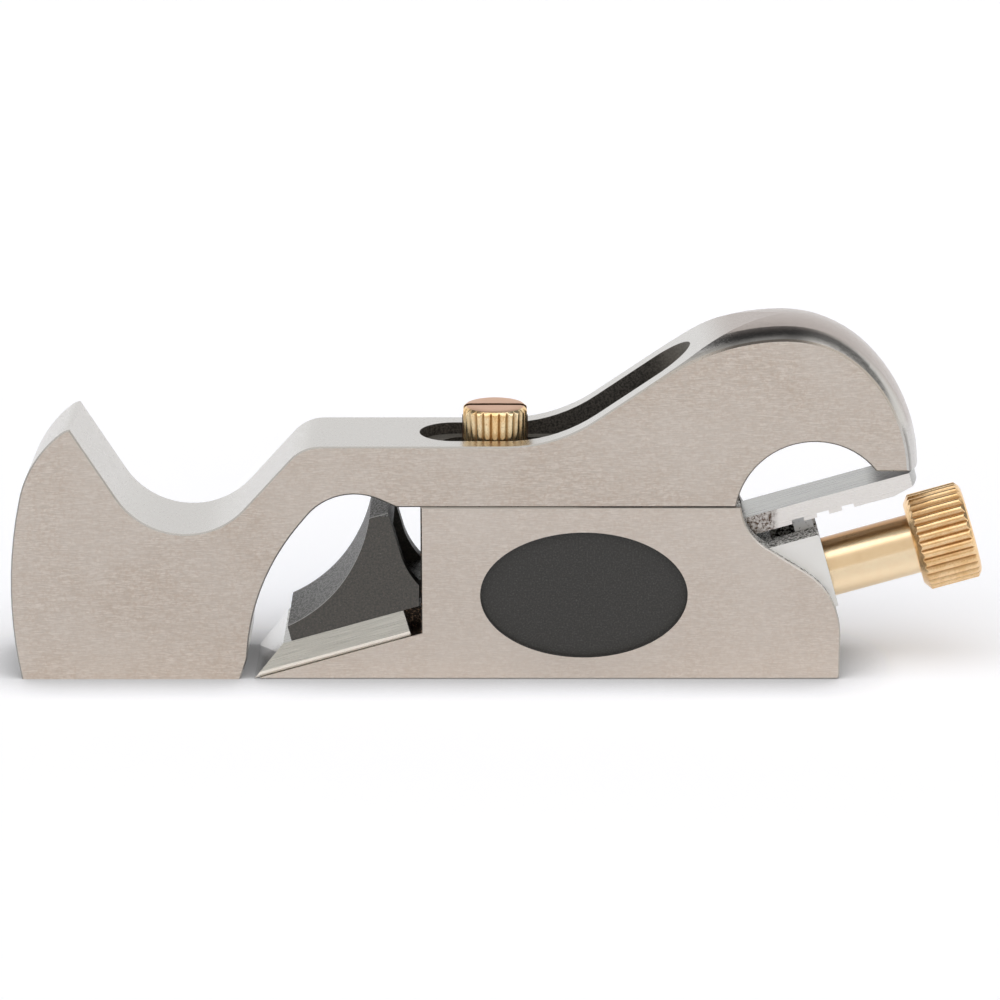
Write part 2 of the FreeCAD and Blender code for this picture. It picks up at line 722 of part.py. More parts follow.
screw_hole = circle_sketch(lever_cap, "screw_hole", (mm("cap_screw_station"), 0),
                           "dims.cap_screw_thread + 2 * dims.run_gap", "XY_Plane",
                           "dims.tang_thickness")
pocket(lever_cap, "screw_hole", screw_hole, "dims.iron_thickness * 3",
       symmetric=False, reverse=True)

# Cap screw: a slotted screw through the tail of the lever cap, which bears on the tang.

lever_cap_screw = new_body("lever_cap_screw")
place_on_bed(lever_cap_screw, "dims.cap_screw_station")
tip = mm("tang_thickness") + mm("cap_screw_tip_gap")
under_head = tail_top + 0.4
head_top = under_head + mm("cap_screw_head_height")
turned(lever_cap_screw, "turned", [
    (0, tip),
    (mm("cap_screw_thread") / 2 - 0.5, tip),
    (mm("cap_screw_thread") / 2, tip + 0.5),
    (mm("cap_screw_thread") / 2, under_head),
    (mm("cap_screw_head") / 2, under_head),
    (mm("cap_screw_head") / 2, head_top, 0.6),
    (0, head_top),
], "V_Axis")
cap_driver = new_sketch(lever_cap_screw, "driver", [box_outline(
    -mm("cap_screw_head"), head_top - 1.2, mm("cap_screw_head"), head_top + 1.0)])
pocket(lever_cap_screw, "driver", cap_driver, "dims.driver_slot")

# Lock screw: turned from brass in one piece, it clamps the upper body to the bridge.

lock_screw = new_body("lock_screw")
place_along_sole(lock_screw, "dims.lock_station")
head_seat = mm("recess_floor") + mm("run_gap")
head_radius = mm("lock_head_diameter") / 2
chamfer = mm("lock_head_chamfer")
turned(lock_screw, "turned", [
    (0, mm("lock_tip_height")),
    (mm("lock_thread") / 2 - 0.6, mm("lock_tip_height")),
    (mm("lock_thread") / 2, mm("lock_tip_height") + 0.6),
    (mm("lock_thread") / 2, head_seat),
    (head_radius - 0.4, head_seat),
    (head_radius, head_seat + 0.4),
    (head_radius, mm("lock_top_height") - chamfer - 0.3),
    (head_radius - chamfer, mm("lock_top_height") - 0.3),
    (0, mm("lock_top_height")),
], "V_Axis")
lock_driver = new_sketch(lock_screw, "driver", [box_outline(
    -mm("lock_head_diameter"), mm("lock_top_height") - 1.9,
    mm("lock_head_diameter"), mm("lock_top_height") + 1.0)])
pocket(lock_screw, "driver", lock_driver, "dims.driver_slot")

# Feed screw, its brass knob, and the dog that carries the iron along.

tooth_length = mm("notch_width") - 2 * mm("run_gap")
dog_front = mm("notch_first") - tooth_length / 2
barrel_front = dog_front + mm("dog_thickness") + mm("run_gap")
collar_back = dog_front - mm("run_gap")
collar_front = collar_back - mm("collar_length")

adjuster_screw = new_body("adjuster_screw")
place_on_bed(adjuster_screw, "0", "-dims.feed_drop")
turned(adjuster_screw, "turned", [
    (mm("feed_thread_front"), 0),
    (mm("feed_thread_front"), mm("feed_thread") / 2 - 0.5),
    (mm("feed_thread_front") + 0.5, mm("feed_thread") / 2),
    (collar_front, mm("feed_thread") / 2),
    (collar_front, mm("collar_diameter") / 2),
    (collar_back, mm("collar_diameter") / 2),
    (collar_back, mm("neck_diameter") / 2),
    (barrel_front, mm("neck_diameter") / 2),
    (barrel_front, mm("spigot_diameter") / 2),
    (barrel_front + mm("spigot_length"), mm("spigot_diameter") / 2),
    (barrel_front + mm("spigot_length"), 0),
])

adjuster_knob = new_body("adjuster_knob")
place_on_bed(adjuster_knob, "0", "-dims.feed_drop")
knob_radius = mm("knob_diameter") / 2
knob_chamfer = mm("knob_chamfer")
knob_end = mm("barrel_rear") + mm("knob_length")
turned(adjuster_knob, "turned", [
    (barrel_front, mm("spigot_diameter") / 2),
    (barrel_front, mm("barrel_diameter") / 2 - 0.3),
    (barrel_front + 0.3, mm("barrel_diameter") / 2),
    (mm("barrel_rear"), mm("barrel_diameter") / 2),
    (mm("barrel_rear"), knob_radius - knob_chamfer),
    (mm("barrel_rear") + knob_chamfer, knob_radius),
    (knob_end - knob_chamfer, knob_radius),
    (knob_end, knob_radius - knob_chamfer),
    (knob_end, 0),
    (barrel_front + mm("spigot_length"), 0),
    (barrel_front + mm("spigot_length"), mm("spigot_diameter") / 2),
])

adjuster_dog = new_body("adjuster_dog")
place_on_bed(adjuster_dog, "dims.notch_first - dims.notch_width / 2 + dims.run_gap",
             "-dims.feed_drop")
half_lug = mm("dog_width") / 2
eye_radius = mm("barrel_diameter") / 2 - 0.15
lug_top = mm("feed_drop") - mm("run_gap")
lug_angle = math.degrees(math.acos(half_lug / eye_radius))
eye_and_lug = [
    line((half_lug, lug_top), (-half_lug, lug_top)),
    line((-half_lug, lug_top), polar((0, 0), eye_radius, 180 - lug_angle)),
    arc_through(polar((0, 0), eye_radius, 180 - lug_angle), (0, -eye_radius),
                polar((0, 0), eye_radius, lug_angle)),
    line(polar((0, 0), eye_radius, lug_angle), (half_lug, lug_top)),
]
eye = new_sketch(adjuster_dog, "eye", [eye_and_lug], "YZ_Plane")
pad(adjuster_dog, "eye", eye, "dims.dog_thickness", symmetric=False)
eye_bore = circle_sketch(adjuster_dog, "eye_bore", (0, 0),
                         "dims.neck_diameter + 2 * dims.run_gap", "YZ_Plane")
pocket(adjuster_dog, "eye_bore", eye_bore, "dims.plane_width")
tooth_top = mm("feed_drop") + mm("notch_depth") - mm("run_gap")
tooth = new_sketch(adjuster_dog, "tooth", [box_outline(
    -half_lug, lug_top - 0.5, half_lug, tooth_top)], "YZ_Plane")
pad(adjuster_dog, "tooth", tooth, "dims.notch_width - 2 * dims.run_gap", symmetric=False)

# Checks, then one file for each piece.

doc.recompute()
for thing in doc.Objects:
    if "Invalid" in thing.State or "Error" in thing.State:
        raise ValueError("%s failed: %s" % (thing.Name, thing.State))
bodies = [thing for thing in doc.Objects if thing.TypeId == "PartDesign::Body"]
for body in bodies:
    if body.Shape.isNull() or not body.Shape.isValid():
        raise ValueError("%s has no valid shape" % body.Label)
    if len(body.Shape.Solids) != 1:
        raise ValueError("%s is %d solids" % (body.Label, len(body.Shape.Solids)))
os.makedirs("parts", exist_ok=True)
for body in bodies:
    body.Shape.exportStep("parts/%s.step" % body.Label)
    box = body.Shape.BoundBox
    print("%-16s volume %8.1f  X %7.2f %7.2f  Y %6.2f %6.2f  Z %6.2f %6.2f" % (
        body.Label, body.Shape.Volume, box.XMin, box.XMax, box.YMin, box.YMax, box.ZMin, box.ZMax))
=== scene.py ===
import math
import bmesh
import bpy
from mathutils import Matrix, Vector


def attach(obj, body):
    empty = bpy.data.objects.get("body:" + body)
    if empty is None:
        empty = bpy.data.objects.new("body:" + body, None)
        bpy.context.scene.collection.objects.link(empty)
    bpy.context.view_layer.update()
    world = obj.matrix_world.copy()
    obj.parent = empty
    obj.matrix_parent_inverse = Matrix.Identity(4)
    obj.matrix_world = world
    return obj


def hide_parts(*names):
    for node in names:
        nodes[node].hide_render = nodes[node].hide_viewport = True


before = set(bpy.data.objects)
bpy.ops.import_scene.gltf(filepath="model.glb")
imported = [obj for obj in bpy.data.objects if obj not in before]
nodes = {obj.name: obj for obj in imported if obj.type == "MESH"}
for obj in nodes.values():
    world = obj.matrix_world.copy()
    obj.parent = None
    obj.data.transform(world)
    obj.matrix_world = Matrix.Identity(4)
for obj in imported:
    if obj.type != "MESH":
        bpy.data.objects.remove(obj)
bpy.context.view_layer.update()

MM = 0.001

# Studio: the camera at the photograph's angle, a pale floor, and the light of a small studio.
# A white backdrop stands behind, a soft box hangs above the front, and the room between is dark.

film_width = 36.0
lens_length = 143.1
camera_place = (0.012, -0.6538, 0.225)
camera_down = 16.67
camera_data = bpy.data.cameras.new("camera")
camera_data.sensor_width = film_width
camera_data.lens = lens_length
camera = bpy.data.objects.new("camera", camera_data)
camera.location = camera_place
camera.rotation_euler = (math.radians(90 - camera_down), 0, 0)
bpy.context.scene.collection.objects.link(camera)
bpy.context.scene.camera = camera
bpy.context.scene.view_settings.view_transform = "Standard"


def colour(code):
    """Linear colour of an sRGB hex code."""
    channels = [int(code[i:i + 2], 16) / 255 for i in (1, 3, 5)]
    linear = [c / 12.92 if c <= 0.04045 else ((c + 0.055) / 1.055) ** 2.4 for c in channels]
    return (*linear, 1.0)


def add(tree, kind, inputs=None, **settings):
    """Adds one node, applies its settings, and fills its inputs with values or links."""
    made = tree.nodes.new(kind)
    for name, value in settings.items():
        setattr(made, name, value)
    for name, value in (inputs or {}).items():
        if isinstance(value, bpy.types.NodeSocket):
            tree.links.new(value, made.inputs[name])
        else:
            made.inputs[name].default_value = value
    return made


def ramp(tree, value, stops):
    """Colour ramp through stops of (place, hex code, strength), from place 0 to place 1."""
    made = add(tree, "ShaderNodeValToRGB", {"Fac": value})
    elements = made.color_ramp.elements
    for place, _, _ in stops[1:-1]:
        elements.new(place)
    for element, (_, code, strength) in zip(elements, stops):
        element.color = (*[c * strength for c in colour(code)[:3]], 1.0)
    return made.outputs["Color"]


def calc(tree, operation, a, b=0.0, clamp=False):
    """Result of one operation on values or links."""
    made = add(tree, "ShaderNodeMath", {0: a, 1: b}, operation=operation, use_clamp=clamp)
    return made.outputs[0]


def times(tree, result, *others):
    """Product of two or more values."""
    for other in others:
        result = calc(tree, "MULTIPLY", result, other)
    return result


def most(tree, result, *others):
    """The largest of two or more values."""
    for other in others:
        result = calc(tree, "MAXIMUM", result, other)
    return result


world = bpy.data.worlds.new("studio_room")
world.use_nodes = True
bpy.context.scene.world = world
room = world.node_tree
room.nodes.clear()
direction = add(room, "ShaderNodeTexCoord")
split = add(room, "ShaderNodeSeparateXYZ", {"Vector": direction.outputs["Generated"]})
height_angle = calc(room, "ARCTAN2", split.outputs["Z"], split.outputs["Y"])
share = calc(room, "DIVIDE", height_angle, math.pi, clamp=True)
# From the low back over the top to the low front: backdrop, dark gap, soft box, dim front.
light = ramp(room, share, [
    (0.0, "#ffffff", 1.0),
    (0.215, "#ffffff", 1.0),
    (0.25, "#666667", 1.0),
    (0.44, "#666667", 1.0),
    (0.485, "#ffffff", 1.6),
    (0.68, "#ffffff", 1.6),
    (0.76, "#ddd4ca", 1.0),
    (1.0, "#ddd4ca", 1.0),
])
path = add(room, "ShaderNodeLightPath")
lit = add(room, "ShaderNodeBackground", {"Color": light, "Strength": 1.0})
white = add(room, "ShaderNodeBackground", {"Color": (1, 1, 1, 1), "Strength": 1.0})
either = add(room, "ShaderNodeMixShader", {
    0: path.outputs["Is Camera Ray"], 1: lit.outputs[0], 2: white.outputs[0]})
add(room, "ShaderNodeOutputWorld", {"Surface": either.outputs[0]})


def new_material(name):
    """An empty material, and its tree."""
    material = bpy.data.materials.new(name)
    material.use_nodes = True
    material.node_tree.nodes.clear()
    return material, material.node_tree


# The floor keeps the object's soft shadow; its own faint glow lifts it to white for the camera.
shadow_reach = 12 * MM
shadow_darkest = 0.42
floor_glow = 0.19
floor_material, tree = new_material("studio_paper")
path = add(tree, "ShaderNodeLightPath")
in_camera = path.outputs["Is Camera Ray"]
glow = most(tree, in_camera, path.outputs["Is Glossy Ray"])
fibre = add(tree, "ShaderNodeTexNoise", {
    "Vector": add(tree, "ShaderNodeTexCoord").outputs["Object"],
    "Scale": 1 / (2.0 * MM), "Detail": 2.0})
paper = ramp(tree, fibre.outputs["Fac"], [(0.0, "#edeff4", 1.0), (1.0, "#f0f2f7", 1.0)])
# Close under an edge the paper is darker, as far as the object hides the light from it.
hidden = add(tree, "ShaderNodeAmbientOcclusion", {"Distance": shadow_reach}, samples=6)
unseen = calc(tree, "SUBTRACT", 1.0, in_camera)
shade = most(tree, hidden.outputs["AO"], shadow_darkest, unseen)
shaded = add(tree, "ShaderNodeVectorMath", {0: paper, 1: shade}, operation="MULTIPLY")
diffuse = add(tree, "ShaderNodeBsdfDiffuse", {"Color": shaded.outputs[0], "Roughness": 1.0})
lift = add(tree, "ShaderNodeEmission", {
    "Color": (1, 1, 1, 1), "Strength": times(tree, glow, shade, floor_glow)})
both = add(tree, "ShaderNodeAddShader", {0: diffuse.outputs[0], 1: lift.outputs[0]})
add(tree, "ShaderNodeOutputMaterial", {"Surface": both.outputs[0]})

floor_mesh = bpy.data.meshes.new("floor")
floor_mesh.from_pydata([(-3, -2.5, 0), (3, -2.5, 0), (3, 4, 0), (-3, 4, 0)], [], [(0, 1, 2, 3)])
floor_mesh.materials.append(floor_material)
floor = bpy.data.objects.new("floor", floor_mesh)
bpy.context.scene.collection.objects.link(floor)

# Upper body: one steel casting, ground on all its outside faces. The flat sides carry a fine
# grain along the sole; the rounded top was finished on a belt and is smoother.


def noise(tree, vector, size, detail=2.0, roughness=0.5, distortion=0.0):
    """Noise whose features are about size metres across."""
    made = add(tree, "ShaderNodeTexNoise", {
        "Vector": vector, "Scale": 1 / size, "Detail": detail,
        "Roughness": roughness, "Distortion": distortion})
    return made.outputs["Fac"]


def stretched(tree, vector, sizes, turn=0.0):
    """Coordinates for a pattern whose features have a different size along each axis."""
    turned_place = add(tree, "ShaderNodeMapping", {
        "Vector": vector, "Rotation": (0, turn, 0)})
    made = add(tree, "ShaderNodeVectorMath", {
        0: turned_place.outputs[0], 1: tuple(1 / size for size in sizes)}, operation="MULTIPLY")
    return made.outputs[0]


def blend(tree, factor, first, second, mode="MIX"):
    """Mix of two colours; the factor, and each colour, is a value or a socket."""
    made = add(tree, "ShaderNodeMix", data_type="RGBA", blend_type=mode)
    for number, value in ((0, factor), (6, first), (7, second)):
        if isinstance(value, bpy.types.NodeSocket):
            tree.links.new(value, made.inputs[number])
        else:
            made.inputs[number].default_value = value
    return made.outputs[2]


def spread(tree, value, low, high, to_low=0.0, to_high=1.0):
    """Maps a value from one range to another, clamped and smooth at both ends."""
    made = add(tree, "ShaderNodeMapRange", {
        "Value": value, "From Min": low, "From Max": high, "To Min": to_low, "To Max": to_high},
        interpolation_type="SMOOTHSTEP")
    return made.outputs["Result"]


def within(tree, value, low, high, soft):
    """1 between two limits and 0 outside them, with soft steps."""
    rise = spread(tree, value, low - soft, low + soft)
    fall = spread(tree, value, high - soft, high + soft, 1.0, 0.0)
    return calc(tree, "MULTIPLY", rise, fall)


def bumped(tree, height, strength, distance):
    """Normal of a surface that a pattern roughens."""
    made = add(tree, "ShaderNodeBump", {
        "Height": height, "Strength": strength, "Distance": distance})
    return made.outputs["Normal"]


def distance(tree, one_way, other_way):
    """Straight distance over two steps that are square to each other."""
    return calc(tree, "SQRT", calc(
        tree, "ADD", times(tree, one_way, one_way), times(tree, other_way, other_way)))


def read_surface(tree):
    """Where a point of the piece is, whole and by axis, and which way its surface faces."""
    place = add(tree, "ShaderNodeTexCoord")
    here = place.outputs["Object"]
    axis = add(tree, "ShaderNodeSeparateXYZ", {"Vector": here}).outputs
    facing = add(tree, "ShaderNodeSeparateXYZ", {"Vector": place.outputs["Normal"]}).outputs
    return here, axis, facing


def ground_steel(name):
    """Ground steel: warm and grained on the flat sides, paler and smoother on the other faces.
    Returns the material, its tree, its surface, and the looks that a piece may mix more into."""
    material, tree = new_material(name)
    here, axis, facing = read_surface(tree)
    turned_out = calc(tree, "ABSOLUTE", facing["Y"])
    sideways = spread(tree, turned_out, 0.90, 0.99)
    # Grain of the surface grinder, about 1.5 mm long and 0.15 mm wide, over a fine mottle.
    lines = noise(tree, stretched(tree, here, (1.5 * MM, 0.4 * MM, 0.16 * MM)), 1.0, 3.0, 0.6)
    coarse = noise(tree, stretched(tree, here, (4 * MM, 1.0 * MM, 0.6 * MM)), 1.0, 2.0)
    mottle = noise(tree, here, 0.55 * MM, 3.0, 0.7)
    cloud = noise(tree, here, 12 * MM, 3.0)
    side = blend(tree, spread(tree, lines, 0.3, 0.7), colour("#c3b7ab"), colour("#e2d9cf"))
    side = blend(tree, spread(tree, coarse, 0.35, 0.7, 0.0, 0.3), side, colour("#c3b4a5"))
    side = blend(tree, spread(tree, mottle, 0.45, 0.65, 0.0, 0.6), side, colour("#c5b3a3"))
    side = blend(tree, spread(tree, cloud, 0.3, 0.7, 0.0, 0.4), side, colour("#d8d0c7"))
    top = blend(tree, spread(tree, mottle, 0.3, 0.7), colour("#c9c6c2"), colour("#d2d0cd"))
    # Painted highlight: faces that lean towards the toe are painted paler.
    slope_highlight = spread(tree, facing["X"], -0.5, -0.2, 1.0, 0.0)
    top = blend(tree, slope_highlight, top, colour("#d4d2cf"))
    # The narrow broken edges are painted darker, a painted shade over the light they catch.
    shaded_edge = within(tree, turned_out, 0.55, 0.86, 0.03)
    top = blend(tree, shaded_edge, top, colour("#9d9a95"))
    tint = blend(tree, sideways, top, side)
    rough_side = spread(tree, lines, 0.3, 0.7, 0.36, 0.48)
    rough_top = spread(tree, mottle, 0.3, 0.7, 0.26, 0.34)
    dull = add(tree, "ShaderNodeMix", {0: sideways, 2: rough_top, 3: rough_side}).outputs[0]
    height = times(tree, calc(tree, "ADD", lines, coarse),
                   spread(tree, sideways, 0.0, 1.0, 0.25, 1.0))
    return material, tree, (here, axis, facing), tint, dull, height


def finish_metal(tree, tint, dull, height, strength, depth, metallic=1.0):
    """Metal shader and output, from colour, roughness and height."""
    shader = add(tree, "ShaderNodeBsdfPrincipled", {
        "Base Color": tint, "Roughness": dull, "Metallic": metallic,
        "Normal": bumped(tree, height, strength, depth)})
    add(tree, "ShaderNodeOutputMaterial", {"Surface": shader.outputs[0]})


def wear(node, material):
    """Gives a CAD node its material."""
    piece = nodes[node]
    piece.data.materials.clear()
    piece.data.materials.append(material)


# The long recess was never ground: it keeps the dark skin of the foundry, painted darker still as
# painted shade, with its floor and rear end painted paler as painted light. As a painted reflection,
# the crown of the palm rest is painted warmer and duller than the flat top, and dark where it turns
# down to the near side, up to a painted highlight at its rear.
recess_middle = 21.25 * MM
recess_half_straight = 17.05 * MM
recess_radius = 5.93 * MM
crown_front = 45 * MM
crown_foot = 43 * MM
glint_front = 61 * MM
upper_steel, tree, (here, axis, facing), tint, dull, height = ground_steel("ground_steel_casting")
from_middle = calc(tree, "ABSOLUTE", calc(tree, "SUBTRACT", axis["X"], recess_middle))
past_end = most(tree, calc(tree, "SUBTRACT", from_middle, recess_half_straight), 0.0)
in_recess = spread(tree, distance(tree, past_end, axis["Y"]),
                   recess_radius, recess_radius + 0.05 * MM, 1.0, 0.0)
# Dark cast skin in the recess, painted darker still as painted shade.
skin = noise(tree, here, 0.35 * MM, 3.0, 0.6)
recess_skin_and_shade = blend(tree, spread(tree, skin, 0.35, 0.65), colour("#2e2d2b"), colour("#605d59"))
# Painted light: the recess's upward floor and its rear end are painted paler.
recess_floor = spread(tree, facing["Z"], 0.5, 0.8)
recess_rear = spread(tree, axis["X"], 36 * MM, 43 * MM)
recess_skin_and_shade = blend(tree, times(tree, most(tree, recess_floor, recess_rear), 0.5),
                recess_skin_and_shade, colour("#8b8780"))
turned_out = calc(tree, "ABSOLUTE", facing["Y"])
on_crown = times(tree, spread(tree, axis["X"], crown_front, crown_front + 7 * MM),
                 spread(tree, axis["Z"], crown_foot, crown_foot + 3 * MM),
                 spread(tree, turned_out, 0.90, 0.99, 1.0, 0.0))
# Painted reflection: the crown is tinted dark towards the near side, with a painted highlight at its
# rear.
rear_glint = spread(tree, axis["X"], glint_front, glint_front + 6 * MM)
near_reflection = blend(tree, rear_glint, colour("#6a6866"), colour("#cfccc7"))
far_side = spread(tree, facing["Y"], -0.5, -0.2)
crown_reflection = blend(tree, far_side, near_reflection, colour("#ada39d"))
tint = blend(tree, on_crown, tint, crown_reflection)
tint = blend(tree, in_recess, tint, recess_skin_and_shade)
dull = calc(tree, "ADD", dull, times(tree, in_recess, 0.3), clamp=True)
dull = calc(tree, "SUBTRACT", dull, times(tree, on_crown, 0.07))
metal = calc(tree, "SUBTRACT", 1.0, times(tree, in_recess, 0.6))
finish_metal(tree, tint, dull, height, 0.12, 0.02 * MM, metal)
wear("upper_body", upper_steel)

# Lower body: ground steel like the upper body. Each side has a shallow oval panel filled with
# black crackle paint, and the boss at the back keeps the rough skin of the casting.

half_width = 9.5 * MM
panel_middle_x = 26.3 * MM
panel_middle_z = 15.1 * MM
panel_half_length = 17.7 * MM
panel_half_height = 11.2 * MM
parting = 30.75 * MM
boss_front = 50 * MM
boss_half_width = 8.0 * MM
lower_steel, tree, (here, axis, facing), tint, dull, height = ground_steel("ground_steel_body")
across = calc(tree, "ABSOLUTE", axis["Y"])
turned_out = calc(tree, "ABSOLUTE", facing["Y"])
panel_x = calc(tree, "DIVIDE", calc(tree, "SUBTRACT", axis["X"], panel_middle_x), panel_half_length)
panel_z = calc(tree, "DIVIDE", calc(tree, "SUBTRACT", axis["Z"], panel_middle_z), panel_half_height)
panel = times(tree, spread(tree, distance(tree, panel_x, panel_z), 1.0, 1.004, 1.0, 0.0),
              within(tree, across, half_width - 1.0 * MM, half_width - 0.03 * MM, 0.02 * MM))
grit = noise(tree, here, 0.3 * MM, 3.0, 0.7)
paint = blend(tree, spread(tree, grit, 0.45, 0.75), colour("#353534"), colour("#50504e"))
# Painted light: the lower body's steel is painted paler than the upper body's, making up for the dimmer
# light it gets.
tint = blend(tree, 0.3, tint, colour("#e3dad1"))
tint = blend(tree, panel, tint, paint)
# Dirt lies at the rear end of the line between the two bodies. On the window's rear wall and on the
# inner face behind the iron the steel is painted dark, a painted shade where the parts meet.
edge_only = spread(tree, turned_out, 0.8, 0.95, 1.0, 0.0)
near_parting = times(
    tree, edge_only, spread(tree, across, half_width - 0.35 * MM, half_width - 0.25 * MM),
    within(tree, axis["Z"], parting - 0.4 * MM, parting + 0.45 * MM, 0.03 * MM))
at_parting = times(
    tree, near_parting, spread(tree, axis["Z"], parting - 0.15 * MM, parting - 0.05 * MM),
    spread(tree, axis["X"], 22 * MM, 30 * MM))
window_shade = times(tree, spread(tree, facing["X"], -0.6, -0.4, 1.0, 0.0),
                    within(tree, axis["X"], -4.0 * MM, 0.0, 0.5 * MM))
shade_behind_iron = times(tree, within(tree, axis["X"], -5.2 * MM, -1.2 * MM, 0.3 * MM),
                    spread(tree, across, half_width - 0.4 * MM, half_width - 0.3 * MM, 1.0, 0.0))
dirt_and_shade = most(tree, at_parting, window_shade, shade_behind_iron)
dark_mottle = noise(tree, here, 0.7 * MM, 3.0, 0.6)
tint = blend(tree, dirt_and_shade, tint, blend(
    tree, spread(tree, dark_mottle, 0.5, 0.65), colour("#231e1a"), colour("#6b5848")))
# The boss is rough and speckled on top; its sides are smoother and nearly white.
on_boss = times(tree, spread(tree, axis["X"], boss_front, boss_front + 1.0 * MM),
                spread(tree, across, half_width - 0.5 * MM, half_width - 0.4 * MM, 1.0, 0.0))
boss_side = times(tree, on_boss, spread(tree, turned_out, 0.9, 0.99), spread(
    tree, across, boss_half_width - 0.15 * MM, boss_half_width - 0.05 * MM))
boss_top = times(tree, on_boss, calc(tree, "SUBTRACT", 1.0, boss_side))
skin = noise(tree, here, 0.42 * MM, 2.0, 0.6)
rough_skin = ramp(tree, skin, [
    (0.0, "#161514", 1.0), (0.47, "#2a2826", 1.0), (0.51, "#cfcfcd", 1.0), (1.0, "#f0f1f1", 1.0)])
tint = blend(tree, boss_top, tint, rough_skin)
tint = blend(tree, boss_side, tint, colour("#f3f4f3"))
height = calc(tree, "ADD", height, times(tree, boss_top, skin, 8.0))
height = calc(tree, "ADD", height, times(tree, panel, grit, 2.0))
not_metal = most(tree, boss_top, boss_side, dirt_and_shade, near_parting)
dull = calc(tree, "ADD", dull, times(tree, most(tree, panel, not_metal), 0.2), clamp=True)
metal = calc(tree, "SUBTRACT", calc(tree, "SUBTRACT", 1.0, panel, clamp=True),
             times(tree, not_metal, 0.85), clamp=True)
finish_metal(tree, tint, dull, height, 0.12, 0.02 * MM, metal)
wear("lower_body", lower_steel)

# Iron: hardened tool steel, surface ground along its length, with a finer bevel. It lies on the
# bed of the lower body, and the tang's sides keep patches of brown heat scale.

bed_angle = math.radians(16)
cutting_edge = -30.1 * MM
bevel_top = 5.2 * MM
tang_front = 40 * MM
rest_end = 74.2 * MM


def above_bed(tree, x, z):
    """How far a place or a direction leads square up from the bed."""
    return calc(tree, "SUBTRACT", times(tree, z, math.cos(bed_angle)),
                times(tree, x, math.sin(bed_angle)))


def along_bed(tree, x, z):
    """How far a place or a direction leads up along the bed."""
    return calc(tree, "ADD", times(tree, z, math.sin(bed_angle)),
                times(tree, x, math.cos(bed_angle)))


iron_steel, tree = new_material("brushed_tool_steel")
here, axis, facing = read_surface(tree)
across = calc(tree, "ABSOLUTE", axis["Y"])
turned_out = calc(tree, "ABSOLUTE", facing["Y"])
side = spread(tree, turned_out, 0.8, 0.95)
lines = noise(tree, stretched(tree, here, (9 * MM, 0.5 * MM, 0.10 * MM), bed_angle), 1.0, 3.0, 0.6)
flat = blend(tree, spread(tree, lines, 0.3, 0.7), colour("#a8a8a7"), colour("#bfbfbc"))
edge = blend(tree, spread(tree, lines, 0.3, 0.7), colour("#bab7ad"), colour("#d6d3c9"))
tint = blend(tree, side, flat, edge)
bevel = spread(tree, facing["X"], -0.6, -0.45, 1.0, 0.0)
tint = blend(tree, bevel, tint, colour("#dfdedb"))
# Painted reflection: the corner of the bevel by the near end of the cutting edge is painted dark.
over_corner = calc(tree, "ADD", times(tree, axis["Z"], 2 * half_width / bevel_top),
                   calc(tree, "ADD", axis["Y"], half_width))
painted_reflection = times(tree, bevel, spread(tree, over_corner, 17.6 * MM, 18.6 * MM, 1.0, 0.0))
tint = blend(tree, times(tree, painted_reflection, 0.96), tint, colour("#1a1917"))
# The tang is paler and browned where the adjuster works; under the palm rest's end it is painted dark,
# a painted shade.
on_tang = spread(tree, axis["X"], tang_front, tang_front + 8 * MM)
tint = blend(tree, times(tree, on_tang, side), tint, colour("#f0ebe5"))
scale = noise(tree, here, 0.55 * MM, 3.0, 0.7)
stain_and_shade = times(tree, side, within(tree, axis["X"], 52.6 * MM, 59.0 * MM, 0.8 * MM),
                spread(tree, scale, 0.36, 0.6, 1.0, 0.35))
tint = blend(tree, stain_and_shade, tint, colour("#5b4a3d"))
# Inside the body the tang's sides are painted brown and black, a painted shade deep between the parts.
shade_inside = times(tree, side, spread(tree, across, half_width - 1.5 * MM, half_width - 1.0 * MM, 1.0, 0.0),
               spread(tree, axis["X"], tang_front - 10 * MM, tang_front, 1.0, 0.0))
tint = blend(tree, shade_inside, tint, blend(
    tree, spread(tree, scale, 0.5, 0.65), colour("#231e1a"), colour("#6b5848")))
# Painted shade under the palm rest's end.
shade_under_rest = times(tree, spread(tree, axis["X"], rest_end, rest_end + 3.3 * MM),
                   spread(tree, facing["Z"], 0.8, 0.9))
tint = blend(tree, times(tree, shade_under_rest, 0.8), tint, colour("#3b3836"))
# The two long lower edges are broken; they and a thin strip along the bed are painted near white,
# a painted highlight for the light they catch off the bed.
facing_up = above_bed(tree, facing["X"], facing["Z"])
edge_highlight = times(tree, spread(tree, facing_up, -0.55, -0.4, 1.0, 0.0),
                   within(tree, turned_out, 0.55, 0.86, 0.04))
from_edge = calc(tree, "SUBTRACT", axis["X"], cutting_edge)
strip_highlight = times(
    tree, side, spread(tree, above_bed(tree, from_edge, axis["Z"]), 0.95 * MM, 1.05 * MM, 1.0, 0.0),
    spread(tree, across, half_width - 1.0 * MM, half_width - 0.5 * MM))
edge_highlight = most(tree, edge_highlight, strip_highlight)
tint = blend(tree, edge_highlight, tint, colour("#fffaf0"))
dull = calc(tree, "SUBTRACT", spread(tree, lines, 0.3, 0.7, 0.24, 0.34), times(tree, bevel, 0.14))
metal = calc(tree, "SUBTRACT", 1.0, times(tree, edge_highlight, 0.8))
finish_metal(tree, tint, dull, lines, 0.15, 0.01 * MM, metal)
wear("blade", iron_steel)

# Lever cap: an iron casting with a blackened skin, rough on its curved front and back and
# milled on its flat sides. It hooks under the cross pin and holds the iron down.

